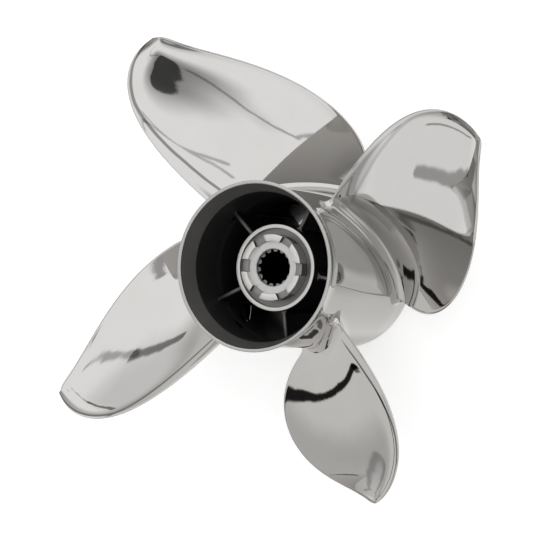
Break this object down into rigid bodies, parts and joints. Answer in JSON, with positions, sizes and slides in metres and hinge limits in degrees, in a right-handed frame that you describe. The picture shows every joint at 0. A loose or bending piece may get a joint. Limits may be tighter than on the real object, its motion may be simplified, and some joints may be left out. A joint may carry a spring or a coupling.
{
  "type": "boat propeller",
  "caption": "Right-hand boat propeller: swept blades on a flared barrel, ribs to an inner hub, rubber-bushed splined drive sleeve with a castellated ring.",
  "frame": {"origin": "centre of the barrel's forward end face, on the shaft's axis; the propeller stands on that end", "axes": "+Z along the shaft's axis, pointing aft towards the nut; the tip of blade_1 lies over +Y"},
  "size_m": [0.3618, 0.3618, 0.1415],
  "materials": {
    "polished_steel": "polished",
    "turned_steel": "satin",
    "cast_steel": "satin",
    "spring_steel": "satin",
    "black_rubber": "matte"
  },
  "bodies": {
    "propeller": {"outer_barrel": "polished_steel", "inner_hub": "turned_steel", "rib_1": "cast_steel", "rib_2": "cast_steel", "rib_3": "cast_steel", "rib_4": "cast_steel", "rib_5": "cast_steel", "blade_1": "polished_steel", "blade_2": "polished_steel", "blade_3": "polished_steel", "blade_4": "polished_steel", "bush_shell": "turned_steel", "rubber_bush": "black_rubber", "bush_washer": "turned_steel", "retaining_ring": "spring_steel"},
    "drive_hub": {"drive_sleeve": "turned_steel", "castle_ring": "turned_steel"}
  },
  "joints": [
    {"name": "hub_twist", "type": "hinge", "parent": "propeller", "child": "drive_hub", "pos_m": [0, 0, 0.06], "axis": [0, 0, 1], "range_deg": [-8, 8], "stiffness_Nm_per_rad": 20}
  ]
}
